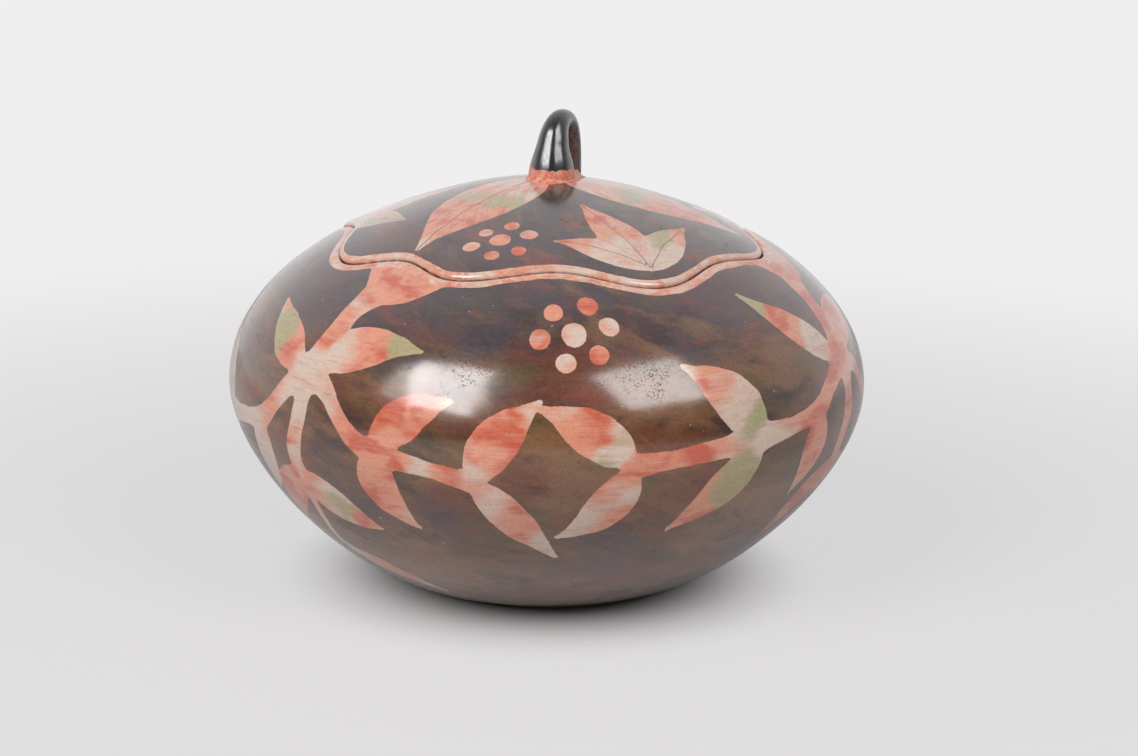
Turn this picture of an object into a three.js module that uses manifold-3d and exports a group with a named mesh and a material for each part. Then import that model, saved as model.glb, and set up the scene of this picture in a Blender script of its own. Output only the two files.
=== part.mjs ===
// A squat, coil-built earthenware jar. Its scalloped lid was cut from the closed form with a knife,
// and carries a stem loop that is luted on with a collar of clay. Millimetres, +Z up. The origin is
// the centre of the foot, and azimuth runs from the front (-Y) towards +X.
import * as THREE from "three";
import Module from "manifold-3d";
import { mergeVertices } from "three/addons/utils/BufferGeometryUtils.js";

// Driving dimensions of the pot's form
const bellyRadius = 120;
const bellyHeight = 77;
const crownRise = 76.4;
const footRadius = 40;
const wall = 6;
const floorThickness = 7;

// How far each quarter of the silhouette keeps its direction before it turns
const shoulderPull = 56.5;
const crownPull = 22;
const underPull = 29;
const footPull = 34;

// The wavy cut: its mean radius, and for each crest and dip the azimuth and the reach beyond the mean
const lidRadius = 80;
const scallops = [
  { azimuth: -86, reach: -6.7 },
  { azimuth: -61, reach: 4.4 },
  { azimuth: -41, reach: -3.3 },
  { azimuth: -24, reach: 2.2 },
  { azimuth: 2, reach: -4.2 },
  { azimuth: 28, reach: 4.9 },
  { azimuth: 52, reach: -2.1 },
  { azimuth: 74, reach: 2.4 },
  { azimuth: 97, reach: -5.5 },
  { azimuth: 118, reach: 3.5 },
  { azimuth: 140, reach: -3.5 },
  { azimuth: 162, reach: 3.8 },
  { azimuth: 184, reach: -3 },
  { azimuth: 207, reach: 3.5 },
  { azimuth: 229, reach: -4 },
  { azimuth: 251, reach: 3 },
];
const cutApexHeight = 45;
const seatClearance = 0.35;
const lidEdgeRounding = 2.6;
const rimRounding = 1.3;
const innerRounding = 1;

// The lid stands proud of the pot, most of all on one side
const lidProud = 0.5;
const lidLean = 0.8;
const leanAzimuth = -50;

// The stem loop: an upright arch of tapering clay, behind the middle and turned from the front
const loopHeight = 24.2;
const legSpacing = 18.5;
const loopTurn = 23.5;
const loopRight = 4.4;
const loopBack = 6.9;
const frontLegRadius = 6.6;
const rearLegRadius = 3.9;
const frontFlare = 2;
const frontSpring = 13;
const rearSpring = 14;
const frontBend = 7.5;
const rearBend = 6.5;

// The collar of clay round the loop's feet, higher and fuller at the front one
const collarReach = 2.6;
const collarFullness = 1.09;
const collarFrontHeight = 4.2;
const collarRearHeight = 1.8;
const collarEdge = 0.6;
const lutingClearance = 0.3;

// How finely the curved surfaces are faceted
const sides = 96;
const lidRings = 7;
const loopSides = 20;
const loopStations = 26;
const collarSides = 40;
const collarRings = 9;

// Sizes that follow from the ones above
const frontFootRadius = frontLegRadius + frontFlare;
const collarHalfLength = (legSpacing + frontFootRadius + rearLegRadius) / 2 + collarReach;
const collarFrontHalfWidth = collarFullness * (frontFootRadius + collarReach);
const collarRearHalfWidth = rearLegRadius + collarReach;
const collarShift = (frontFootRadius - rearLegRadius) / 2;
const crownTop = bellyHeight + crownRise + lidProud;

// A quarter of the silhouette: it leaves the widest ring upright and arrives level at a flat.
function quarter(radius, rise, ringPull, flatRadius, flatPull) {
  return new THREE.CubicBezierCurve(
    new THREE.Vector2(radius, bellyHeight),
    new THREE.Vector2(radius, bellyHeight + Math.sign(rise) * ringPull),
    new THREE.Vector2(flatRadius + flatPull, bellyHeight + rise),
    new THREE.Vector2(flatRadius, bellyHeight + rise),
  );
}

const innerCrownRise = crownRise - wall;
const innerFloorRise = floorThickness - bellyHeight;
const outerShoulder = quarter(bellyRadius, crownRise, shoulderPull, 0, crownPull);
const outerUnder = quarter(bellyRadius, -bellyHeight, underPull, footRadius, footPull);
const innerShoulder = quarter(
  bellyRadius - wall,
  innerCrownRise,
  (shoulderPull * innerCrownRise) / crownRise,
  0,
  crownPull,
);
const innerUnder = quarter(
  bellyRadius - wall,
  innerFloorRise,
  (-underPull * innerFloorRise) / bellyHeight,
  footRadius,
  footPull,
);

// Where along a quarter, from 0 at the widest ring to 1 at its flat, a radius is met.
function shareAt(curve, radius) {
  let low = 0;
  let high = 1;
  for (let step = 0; step < 40; step += 1) {
    const middle = (low + high) / 2;
    if (curve.getPoint(middle).x > radius) low = middle;
    else high = middle;
  }
  return low;
}

function stretch(curve, from, to, steps) {
  return Array.from({ length: steps + 1 }, (_, i) =>
    curve.getPoint(THREE.MathUtils.lerp(from, to, i / steps)),
  );
}

// The knife's path swings evenly from each crest to the next dip.
function cutRadius(azimuth) {
  const first = scallops[0].azimuth;
  const turned = first + THREE.MathUtils.euclideanModulo(azimuth - first, 360);
  const after = scallops.findIndex((point) => point.azimuth > turned);
  const before = scallops[after < 0 ? scallops.length - 1 : after - 1];
  const next = after < 0 ? { azimuth: first + 360, reach: scallops[0].reach } : scallops[after];
  const share = (turned - before.azimuth) / (next.azimuth - before.azimuth);
  const eased = (1 - Math.cos(Math.PI * share)) / 2;
  return lidRadius + THREE.MathUtils.lerp(before.reach, next.reach, eased);
}

// The height of the lid's top. It stands proud of the pot's own curve, and leans as a whole.
function lidTop(radius, azimuth) {
  const onCurve = outerShoulder.getPoint(shareAt(outerShoulder, radius)).y;
  const lean = lidLean * Math.cos(THREE.MathUtils.degToRad(azimuth - leanAzimuth));
  return onCurve + lidProud + (lean * radius) / lidRadius;
}

// The cut face at one azimuth, moved off the knife's path by half the clearance: a line that runs
// down towards the apex on the axis.
function cutFace(azimuth, side) {
  const radius = cutRadius(azimuth);
  const top = outerShoulder.getPoint(shareAt(outerShoulder, radius));
  const along = new THREE.Vector2(-top.x, cutApexHeight - top.y).normalize();
  const across = new THREE.Vector2(-along.y, along.x);
  const start = top.clone().addScaledVector(across, (side * seatClearance) / 2);
  return { start, along };
}

// Where a cut face meets a surface whose height over a radius is given by a function.
function meet(face, heightOver) {
  let low = -2 * wall;
  let high = 4 * wall;
  for (let step = 0; step < 40; step += 1) {
    const middle = (low + high) / 2;
    const point = face.start.clone().addScaledVector(face.along, middle);
    if (point.y > heightOver(point.x)) low = middle;
    else high = middle;
  }
  return face.start.clone().addScaledVector(face.along, low);
}

// A corner rounded off: an even curve between two points that lie either side of it.
function rounded(before, corner, after, steps) {
  return new THREE.QuadraticBezierCurve(before, corner, after).getPoints(steps);
}

// The pot's outline at one azimuth, from the middle of the foot, up the outside, over the rim and
// back down the inside.
function bodyOutline(azimuth) {
  const outerHeight = (radius) => outerShoulder.getPoint(shareAt(outerShoulder, radius)).y;
  const innerHeight = (radius) => innerShoulder.getPoint(shareAt(innerShoulder, radius)).y;
  const face = cutFace(azimuth, 1);
  const lip = meet(face, outerHeight);
  const heel = meet(face, innerHeight);
  const lipShare = shareAt(outerShoulder, lip.x + rimRounding);
  const heelShare = shareAt(innerShoulder, heel.x + innerRounding);
  return [
    new THREE.Vector2(0, 0),
    ...stretch(outerUnder, 1, 0, 9),
    ...stretch(outerShoulder, 0, lipShare, 7).slice(1, -1),
    ...rounded(
      outerShoulder.getPoint(lipShare),
      lip,
      lip.clone().addScaledVector(face.along, rimRounding),
      3,
    ),
    ...rounded(
      heel.clone().addScaledVector(face.along, -innerRounding),
      heel,
      innerShoulder.getPoint(heelShare),
      2,
    ),
    ...stretch(innerShoulder, heelShare, 0, 5).slice(1, -1),
    ...stretch(innerUnder, 0, 1, 7),
    new THREE.Vector2(0, floorThickness),
  ];
}

// The lid's outline at one azimuth, from the middle of its underside, out to the cut face, round the
// edge and back over the top.
function lidOutline(azimuth) {
  const innerHeight = (radius) => innerShoulder.getPoint(shareAt(innerShoulder, radius)).y;
  const topPoint = (radius) => new THREE.Vector2(radius, lidTop(radius, azimuth));
  const face = cutFace(azimuth, -1);
  const lip = meet(face, (radius) => lidTop(radius, azimuth));
  const heel = meet(face, innerHeight);
  const edge = lip.x - lidEdgeRounding;
  const heelShare = shareAt(innerShoulder, heel.x - innerRounding);
  return [
    ...stretch(innerShoulder, 1, heelShare, 7).slice(0, -1),
    ...rounded(
      innerShoulder.getPoint(heelShare),
      heel,
      heel.clone().addScaledVector(face.along, -innerRounding),
      2,
    ),
    ...rounded(
      lip.clone().addScaledVector(face.along, lidEdgeRounding),
      lip,
      topPoint(edge),
      5,
    ),
    ...Array.from({ length: lidRings }, (_, i) => topPoint(edge * (1 - (i + 1) / lidRings))),
  ];
}

// Turns an outline round the axis. The outline may change with the azimuth, and starts and ends on
// the axis.
function spun(outlineAt) {
  const rings = Array.from({ length: sides }, (_, i) => outlineAt((i * 360) / sides));
  const rows = rings[0].length;
  const positions = [0, 0, rings[0][0].y];
  for (let row = 1; row < rows - 1; row += 1)
    rings.forEach((ring, i) => {
      const turn = (i * 2 * Math.PI) / sides;
      positions.push(ring[row].x * Math.sin(turn), -ring[row].x * Math.cos(turn), ring[row].y);
    });
  positions.push(0, 0, rings[0][rows - 1].y);
  const last = positions.length / 3 - 1;
  const vertex = (row, i) => 1 + (row - 1) * sides + (i % sides);
  const index = [];
  for (let i = 0; i < sides; i += 1) {
    index.push(0, vertex(1, i + 1), vertex(1, i));
    for (let row = 1; row < rows - 2; row += 1) {
      const [a, b] = [vertex(row, i), vertex(row, i + 1)];
      const [c, d] = [vertex(row + 1, i + 1), vertex(row + 1, i)];
      index.push(a, b, c, a, c, d);
    }
    index.push(vertex(rows - 2, i), vertex(rows - 2, i + 1), last);
  }
  return shell(positions, index);
}

function shell(positions, index) {
  const geometry = new THREE.BufferGeometry();
  geometry.setAttribute("position", new THREE.Float32BufferAttribute(positions, 3));
  geometry.setIndex(index);
  geometry.computeVertexNormals();
  return geometry;
}

// The stem's own frame stands on the level of the crown's top, with the front leg at -X.
const stemPlace = new THREE.Vector3(loopRight, loopBack, crownTop);
const stemTurn = THREE.MathUtils.degToRad(90 - loopTurn);
const stemFrame = new THREE.Matrix4().makeRotationZ(stemTurn).setPosition(stemPlace);

// The lid's top under a point of the stem's frame, with the luting clearance above it.
function groundAt(x, y) {
  const place = new THREE.Vector3(x, y, 0).applyMatrix4(stemFrame);
  const azimuth = THREE.MathUtils.radToDeg(Math.atan2(place.x, -place.y));
  return lidTop(Math.hypot(place.x, place.y), azimuth) - crownTop + lutingClearance;
}

// The loop's centre line, in its upright plane: up the leaning front leg, over, and down the rear.
function loopPath() {
  const half = legSpacing / 2;
  const rise = loopHeight - rearLegRadius;
  const path = new THREE.CurvePath();
  const front = [[-half, 0], [-half, frontSpring], [-frontBend, rise], [0, rise]];
  const rear = [[0, rise], [rearBend, rise], [half, rearSpring], [half, 0]];
  [front, rear].forEach((points) => {
    path.add(new THREE.CubicBezierCurve(...points.map((point) => new THREE.Vector2(...point))));
  });
  return path;
}

// The clay is thick in the front leg, which flares at its foot, and thin over the top and behind.
function loopRadius(share) {
  const { lerp, smoothstep } = THREE.MathUtils;
  const leg = lerp(frontLegRadius, rearLegRadius, smoothstep(share, 0.1, 0.55));
  return leg + frontFlare * (1 - smoothstep(share, 0, 0.25));
}

// The loop as a closed solid with its feet on the lid, grown all round by a margin. A grown loop
// reaches down by a sink, so that it cuts right through the collar.
function loopGeometry(margin, sink) {
  const path = loopPath();
  const positions = [];
  for (let i = 0; i <= loopStations; i += 1) {
    const share = i / loopStations;
    const centre = path.getPointAt(share);
    const ahead = path.getTangentAt(share);
    const radius = loopRadius(share) + margin;
    const standing = i === 0 || i === loopStations;
    for (let j = 0; j < loopSides; j += 1) {
      const turn = (j * 2 * Math.PI) / loopSides;
      const outward = radius * Math.cos(turn);
      const x = centre.x - ahead.y * outward;
      const y = radius * Math.sin(turn);
      positions.push(x, y, standing ? groundAt(x, y) - sink : centre.y + ahead.x * outward);
    }
  }
  const foot = positions.length / 3;
  [-legSpacing / 2, legSpacing / 2].forEach((x) => positions.push(x, 0, groundAt(x, 0) - sink));
  const vertex = (i, j) => i * loopSides + (j % loopSides);
  const index = [];
  for (let j = 0; j < loopSides; j += 1) {
    index.push(foot, vertex(0, j), vertex(0, j + 1));
    for (let i = 0; i < loopStations; i += 1) {
      const [a, b] = [vertex(i, j), vertex(i, j + 1)];
      const [c, d] = [vertex(i + 1, j + 1), vertex(i + 1, j)];
      index.push(a, c, b, a, d, c);
    }
    index.push(foot + 1, vertex(loopStations, j + 1), vertex(loopStations, j));
  }
  return shell(positions, index);
}

const wasm = await Module();
wasm.setup();

function solidFrom(geometry) {
  const bare = geometry.clone();
  bare.deleteAttribute("normal");
  bare.deleteAttribute("uv");
  const merged = mergeVertices(bare);
  return new wasm.Manifold(
    new wasm.Mesh({
      numProp: 3,
      vertProperties: merged.attributes.position.array,
      triVerts: new Uint32Array(merged.index.array),
    }),
  );
}

function geometryFrom(solid) {
  const mesh = solid.getMesh();
  return shell(Array.from(mesh.vertProperties), Array.from(mesh.triVerts));
}

// The collar: an egg-shaped bank of clay on the lid, with a rounded slope, pierced by the two feet
// of the loop.
function collarGeometry() {
  const { lerp, smoothstep } = THREE.MathUtils;
  const bankAt = (share, x) => {
    const behind = (x + collarShift) / collarHalfLength;
    const height = lerp(collarFrontHeight, collarRearHeight, (1 + behind) / 2);
    return lerp(height, collarEdge, smoothstep(share, 0.78, 1));
  };
  const positions = [];
  for (const top of [false, true]) {
    const middle = groundAt(-collarShift, 0);
    positions.push(-collarShift, 0, top ? middle + bankAt(0, -collarShift) : middle);
    for (let ring = 1; ring <= collarRings; ring += 1)
      for (let i = 0; i < collarSides; i += 1) {
        const share = Math.sqrt(ring / collarRings);
        const turn = (i * 2 * Math.PI) / collarSides;
        const behind = Math.cos(turn);
        const halfWidth = lerp(collarFrontHalfWidth, collarRearHalfWidth, (1 + behind) / 2);
        const x = share * collarHalfLength * behind - collarShift;
        const y = share * halfWidth * Math.sin(turn);
        positions.push(x, y, groundAt(x, y) + (top ? bankAt(share, x) : 0));
      }
  }
  const layer = 1 + collarRings * collarSides;
  const vertex = (top, ring, i) => top * layer + 1 + (ring - 1) * collarSides + (i % collarSides);
  const index = [];
  for (let i = 0; i < collarSides; i += 1) {
    index.push(0, vertex(0, 1, i + 1), vertex(0, 1, i));
    index.push(layer, vertex(1, 1, i), vertex(1, 1, i + 1));
    for (let ring = 1; ring < collarRings; ring += 1)
      for (const top of [0, 1]) {
        const [a, b] = [vertex(top, ring, i), vertex(top, ring, i + 1)];
        const [c, d] = [vertex(top, ring + 1, i + 1), vertex(top, ring + 1, i)];
        index.push(...(top ? [a, c, b, a, d, c] : [a, b, c, a, c, d]));
      }
    const [a, b] = [vertex(0, collarRings, i), vertex(0, collarRings, i + 1)];
    const [c, d] = [vertex(1, collarRings, i + 1), vertex(1, collarRings, i)];
    index.push(a, b, c, a, c, d);
  }
  const piercing = solidFrom(loopGeometry(lutingClearance, collarFrontHeight));
  return geometryFrom(solidFrom(shell(positions, index)).subtract(piercing));
}

const burnishedSlip = { roughness: 0.4, metalness: 0 };

function piece(name, geometry, colour, finish) {
  const material = new THREE.MeshStandardMaterial({ color: colour, ...finish });
  const mesh = new THREE.Mesh(geometry, material);
  mesh.name = name;
  return mesh;
}

const jar = new THREE.Group();
const lid = new THREE.Group();
const stem = new THREE.Group();

jar.add(piece("jar_body", spun(bodyOutline), 0x5a4638, burnishedSlip));
lid.add(piece("lid_shell", spun(lidOutline), 0x6a4a3e, burnishedSlip));
stem.add(piece("stem_handle", loopGeometry(0, 0), 0x2b2b2f, { roughness: 0.25, metalness: 0 }));
stem.add(piece("stem_collar", collarGeometry(), 0xd9795f, burnishedSlip));

stem.position.copy(stemPlace);
stem.rotation.z = stemTurn;
lid.add(stem);
jar.add(lid);

export default jar;
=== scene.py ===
# %% [markdown]
# # A burnished jar with a scalloped lid
# The jar was coiled from red clay, painted with coloured slips, rubbed to a shine with a pebble and
# darkened in smoke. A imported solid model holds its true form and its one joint, the lid that lifts
# off. We load it first, because everything that we make stands in its frame.

# %% Load the solid model
import math

import bpy
import numpy as np
from mathutils import Matrix, Vector


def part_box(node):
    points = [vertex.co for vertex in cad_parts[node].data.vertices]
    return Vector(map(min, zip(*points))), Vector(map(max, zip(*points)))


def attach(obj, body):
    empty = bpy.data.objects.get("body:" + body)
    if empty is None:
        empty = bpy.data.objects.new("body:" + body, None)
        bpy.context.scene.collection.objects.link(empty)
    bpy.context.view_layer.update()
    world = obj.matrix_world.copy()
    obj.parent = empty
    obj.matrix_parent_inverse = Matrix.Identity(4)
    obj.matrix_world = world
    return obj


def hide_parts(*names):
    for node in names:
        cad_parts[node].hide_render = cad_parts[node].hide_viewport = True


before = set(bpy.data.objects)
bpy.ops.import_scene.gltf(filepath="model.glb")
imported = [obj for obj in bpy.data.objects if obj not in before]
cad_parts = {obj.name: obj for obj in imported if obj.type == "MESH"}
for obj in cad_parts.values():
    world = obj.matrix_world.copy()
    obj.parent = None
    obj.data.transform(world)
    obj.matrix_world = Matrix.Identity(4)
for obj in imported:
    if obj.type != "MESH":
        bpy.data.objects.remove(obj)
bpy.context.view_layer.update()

MM = 0.001

# %% [markdown]
# ## The pot's silhouette
# A potter who coils a pot shapes it by eye into one sweeping line: up from a small foot, round the
# belly, and over the shoulder to a crown. We could spin the solid model's own faces, but they are
# too coarse to paint on. Instead we draw the same line again as four quarter curves, and sample it
# as finely as the painting needs. Each curve runs from the widest ring to its level end.

# %% Quarter curves of the silhouette, in millimetres
pot_low, pot_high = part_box("jar_body")
belly_radius = (pot_high.x - pot_low.x) / 2 / MM
belly_height = 77
crown_rise = 76.4
foot_radius = 40
wall = 6
floor_thickness = 7
shoulder_pull = 56.5
crown_pull = 22
under_pull = 29
foot_pull = 34


def quarter(radius, rise, ring_pull, flat_radius, flat_pull):
    corners = np.array(
        [
            (radius, belly_height),
            (radius, belly_height + math.copysign(ring_pull, rise)),
            (flat_radius + flat_pull, belly_height + rise),
            (flat_radius, belly_height + rise),
        ]
    )
    t = np.linspace(0, 1, 800)[:, None]
    weights = np.hstack([(1 - t) ** 3, 3 * t * (1 - t) ** 2, 3 * t**2 * (1 - t), t**3])
    return weights @ corners


inner_rise = crown_rise - wall
inner_drop = floor_thickness - belly_height
outer_shoulder = quarter(belly_radius, crown_rise, shoulder_pull, 0, crown_pull)
outer_under = quarter(belly_radius, -belly_height, under_pull, foot_radius, foot_pull)
inner_shoulder = quarter(
    belly_radius - wall, inner_rise, shoulder_pull * inner_rise / crown_rise, 0, crown_pull
)
inner_under = quarter(
    belly_radius - wall, inner_drop, -under_pull * inner_drop / belly_height, foot_radius, foot_pull
)
print("belly radius", round(belly_radius, 2), "mm, crown at", belly_height + crown_rise, "mm")


# %% Ways to read a curve
def run_along(curve):
    steps = np.hypot(*np.diff(curve, axis=0).T)
    return np.concatenate([[0], np.cumsum(steps)])


def at_run(curve, run):
    known = run_along(curve)
    return np.stack([np.interp(run, known, curve[:, i]) for i in (0, 1)], axis=-1)


def run_to_radius(curve, radius):
    return np.interp(-radius, -curve[:, 0], run_along(curve))


def height_at(curve, radius):
    return np.interp(-radius, -curve[:, 0], curve[:, 1])


# %% [markdown]
# ## The wavy cut
# The lid was cut out of the closed pot with a knife held towards the middle, which swung in and out
# as it went round. Each crest and dip has an azimuth, counted from the front towards the right, and
# a reach beyond the mean radius. A cosine swing between them gives the knife's even wave. The two
# sides of the cut are moved apart by half the clearance each, as in the solid model.

# %% The cut's crests and dips
lid_radius = 80
scallops = [
    (-86, -6.7), (-61, 4.4), (-41, -3.3), (-24, 2.2), (2, -4.2), (28, 4.9), (52, -2.1), (74, 2.4),
    (97, -5.5), (118, 3.5), (140, -3.5), (162, 3.8), (184, -3), (207, 3.5), (229, -4), (251, 3),
]
cut_apex_height = 45
seat_clearance = 0.35
lid_edge_rounding = 2.6
rim_rounding = 1.3
inner_rounding = 1
lid_proud = 0.5
lid_lean = 0.8
lean_azimuth = -50

turn_steps = 480
azimuths = np.arange(turn_steps) * 360 / turn_steps


def cut_radius(azimuth):
    first = scallops[0][0]
    stops = np.array([place for place, _ in scallops] + [first + 360])
    reaches = np.array([reach for _, reach in scallops] + [scallops[0][1]])
    turned = first + np.mod(azimuth - first, 360)
    before = np.clip(np.searchsorted(stops, turned, side="right") - 1, 0, len(scallops) - 1)
    share = (turned - stops[before]) / (stops[before + 1] - stops[before])
    eased = (1 - np.cos(math.pi * share)) / 2
    return lid_radius + reaches[before] + eased * (reaches[before + 1] - reaches[before])


def lid_top(radius, azimuth):
    lean = lid_lean * np.cos(np.radians(azimuth - lean_azimuth))
    return height_at(outer_shoulder, radius) + lid_proud + lean * radius / lid_radius


def cut_face(azimuth, side):
    radius = cut_radius(azimuth)
    top = np.stack([radius, height_at(outer_shoulder, radius)], axis=-1)
    along = np.array([0, cut_apex_height]) - top
    along /= np.linalg.norm(along, axis=-1, keepdims=True)
    across = np.stack([-along[:, 1], along[:, 0]], axis=-1)
    return top + across * side * seat_clearance / 2, along


def meet(start, along, height_over):
    low = np.full(len(start), -2.0 * wall)
    high = np.full(len(start), 4.0 * wall)
    for _ in range(40):
        middle = (low + high) / 2
        point = start + along * middle[:, None]
        above = point[:, 1] > height_over(point[:, 0])
        low = np.where(above, middle, low)
        high = np.where(above, high, middle)
    return start + along * low[:, None]


def rounded(before, corner, after, steps):
    shares = np.linspace(0, 1, steps + 1)
    return [(1 - t) ** 2 * before + 2 * t * (1 - t) * corner + t**2 * after for t in shares]


inmost, outmost = cut_radius(azimuths).min(), cut_radius(azimuths).max()
print("cut radius from", inmost.round(1), "to", outmost.round(1))

# %% [markdown]
# ## Spinning the clay
# A lathe modifier can't follow a wavy rim, so we stack rings ourselves: each ring holds a radius
# and a height at every azimuth. A ring of quads joins each to the next, and a fan closes each end.
# Hand-coiled walls are never quite true, so the outside also swells and sinks by a fraction of a
# millimetre, which bends the lights' reflections as real burnished clay does.


# %% Rings to a mesh
def ring(radius, height):
    return np.stack(np.broadcast_arrays(radius, height, azimuths)[:2], axis=-1)


def spun(rings):
    grid = np.array(rings, dtype=float)
    turn = np.radians(azimuths)[None, :]
    x = grid[..., 0] * np.sin(turn)
    y = -grid[..., 0] * np.cos(turn)
    return np.stack([x, y, grid[..., 1]], axis=-1)


def skin(name, grid, poles=None):
    rows, around = grid.shape[:2]
    points = grid.reshape(-1, 3)
    i, j = np.meshgrid(np.arange(rows - 1), np.arange(around), indexing="ij")
    near = (i * around + j).ravel()
    beside = (i * around + (j + 1) % around).ravel()
    faces = np.stack([near, beside, beside + around, near + around], axis=-1).tolist()
    if poles is not None:
        first, last = len(points), len(points) + 1
        top = (rows - 1) * around
        for k in range(around):
            faces.append([first, (k + 1) % around, k])
            faces.append([last, top + k, top + (k + 1) % around])
        points = np.vstack([points, poles])
    mesh = bpy.data.meshes.new(name)
    mesh.from_pydata((points * MM).tolist(), [], faces)
    mesh.shade_smooth()
    piece = bpy.data.objects.new(name, mesh)
    bpy.context.scene.collection.objects.link(piece)
    return piece


def smoothstep(value, low, high):
    share = np.clip((value - low) / (high - low), 0, 1)
    return share**2 * (3 - 2 * share)


def wobble(points):
    x, y, z = (points[..., i] / belly_radius for i in range(3))
    waves = np.sin(3.1 * x + 2.2 * z + 0.6) * np.sin(2.7 * y - 1.9 * z)
    waves += 0.5 * np.sin(7.3 * x - 3.8 * z + 1.1) * np.cos(6.1 * y + 5.2 * z)
    waves += 0.25 * np.sin(13 * x + 9 * z) * np.sin(12 * y - 11 * z + 2)
    waves += 0.2 * np.sin(23 * x - 17 * z + 0.4) * np.sin(19 * y + 26 * z + 1)
    waves += 0.08 * np.sin(41 * x + 33 * z + 2) * np.sin(37 * y - 29 * z)
    return waves


# %% The pot: foot, belly, shoulder, rim, inside
outer_step = 1.65
wobble_height = 0.28
under_run = run_along(outer_under)[-1]
under_rows = int(under_run / outer_step)
shoulder_rows = 52
foot_rings = (12, 26, 36)
lip_rings = 5
true_near_rim = 14
true_near_foot = 20

pot_face = cut_face(azimuths, 1)
pot_lip = meet(*pot_face, lambda radius: height_at(outer_shoulder, radius))
pot_heel = meet(*pot_face, lambda radius: height_at(inner_shoulder, radius))
lip_run = run_to_radius(outer_shoulder, pot_lip[:, 0] + rim_rounding)
heel_run = run_to_radius(inner_shoulder, pot_heel[:, 0] + inner_rounding)

rings = [ring(r, 0.0) for r in foot_rings]
climbs = [np.full(turn_steps, -under_run - foot_radius + r) for r in foot_rings]
for run in np.linspace(under_run, 0, under_rows):
    point = at_run(outer_under, run)
    rings.append(ring(point[0], point[1]))
    climbs.append(np.full(turn_steps, -run))
for share in np.linspace(0, 1, shoulder_rows)[1:]:
    rings.append(at_run(outer_shoulder, lip_run * share))
    climbs.append(lip_run * share)
outside_rows = len(rings)
rim_start = pot_face[1] * rim_rounding + pot_lip
rim_rings = rounded(rings[-1], pot_lip, rim_start, lip_rings)[1:]
face_end = pot_heel - pot_face[1] * inner_rounding
rim_rings += [rim_start + (face_end - rim_start) * t for t in (0.25, 0.5, 0.75, 1)]
rim_rings += rounded(face_end, pot_heel, at_run(inner_shoulder, heel_run), 3)[1:]
rings += rim_rings
for share in np.linspace(1, 0, 16)[1:]:
    rings.append(at_run(inner_shoulder, heel_run * share))
for share in np.linspace(0, 1, 20)[1:]:
    point = at_run(inner_under, run_along(inner_under)[-1] * share)
    rings.append(ring(point[0], point[1]))

pot_grid = spun(rings)
pot_climb = np.array(climbs)
rim_distance = np.maximum(lip_run[None, :] - pot_climb, 0)
fade = np.clip(rim_distance / true_near_rim, 0, 1)
fade = fade * np.clip((pot_climb + under_run) / true_near_foot, 0, 1)
outward = pot_grid[:outside_rows] - np.array([0, 0, belly_height])
outward /= np.linalg.norm(outward, axis=-1, keepdims=True)
swell = wobble_height * wobble(pot_grid[:outside_rows]) * fade
pot_grid[:outside_rows] += outward * swell[..., None]
pot_poles = [(0, 0, 0), (0, 0, floor_thickness)]
pot = skin("painted_pot", pot_grid, pot_poles)
print("painted_pot", len(pot.data.polygons), "faces,", outside_rows, "rows outside")

# %% The lid: hollow underside, cut edge, domed top
lid_face = cut_face(azimuths, -1)
lid_lip = meet(*lid_face, lambda radius: lid_top(radius, azimuths))
lid_heel = meet(*lid_face, lambda radius: height_at(inner_shoulder, radius))
lid_edge = lid_lip[:, 0] - lid_edge_rounding
lid_heel_run = run_to_radius(inner_shoulder, lid_heel[:, 0] - inner_rounding)
crown_run = run_along(inner_shoulder)[-1]
lid_rows = 54
underside_rings = 14
heel_rings = 3
bead_rings = 8


def top_ring(radius):
    return np.stack([radius, lid_top(radius, azimuths)], axis=-1)


shares = np.linspace(0.1, 1, underside_rings)
rings = [at_run(inner_shoulder, crown_run + (lid_heel_run - crown_run) * t) for t in shares]
heel_start = lid_heel - lid_face[1] * inner_rounding
rings += rounded(rings[-1], lid_heel, heel_start, heel_rings)[1:]
edge_start = lid_lip + lid_face[1] * lid_edge_rounding
rings += [heel_start + (edge_start - heel_start) * t for t in (0.5, 1)]
rings += rounded(edge_start, lid_lip, top_ring(lid_edge), bead_rings)[1:]
lid_top_start = len(rings) - 1
for share in np.linspace(1, 0.02, lid_rows)[1:]:
    rings.append(top_ring(lid_edge * share))
lid_grid = spun(rings)
lid_radii = np.hypot(lid_grid[lid_top_start:, :, 0], lid_grid[lid_top_start:, :, 1])
fade = smoothstep(lid_radii, 20, 32) * smoothstep(lid_edge - lid_radii, 0, 10)
lid_grid[lid_top_start:, :, 2] += wobble_height * wobble(lid_grid[lid_top_start:]) * fade
lid_poles = [(0, 0, belly_height + inner_rise), (0, 0, float(lid_top(0, 0)))]
lid = skin("painted_lid", lid_grid, lid_poles)
print("painted_lid", len(lid.data.polygons), "faces")

# %% [markdown]
# ## Laying slip on the clay
# The vine, leaves and dots are cut-edged patches of coloured slip. An image would need pixels, so
# we describe each shape by a path on the surface and a half width along it, and give every vertex
# its signed distance to the nearest edge. A shader that asks for "distance below zero" then draws
# a crisp outline at any zoom. First come the paths, as azimuths and climbs that land on the clay.


# %% Paths on the surface
def place(azimuth, point):
    turn = np.radians(azimuth)
    radius, height = point[..., 0], point[..., 1]
    return np.stack([radius * np.sin(turn), -radius * np.cos(turn), height], axis=-1)


def on_pot(azimuth, climb):
    climb = np.asarray(climb, float)
    above = at_run(outer_shoulder, np.maximum(climb, 0))
    below = at_run(outer_under, np.maximum(-climb, 0))
    return place(azimuth, np.where((climb >= 0)[..., None], above, below))


def on_lid(azimuth, radius):
    return place(azimuth, np.stack([radius, lid_top(radius, azimuth)], axis=-1))


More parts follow.
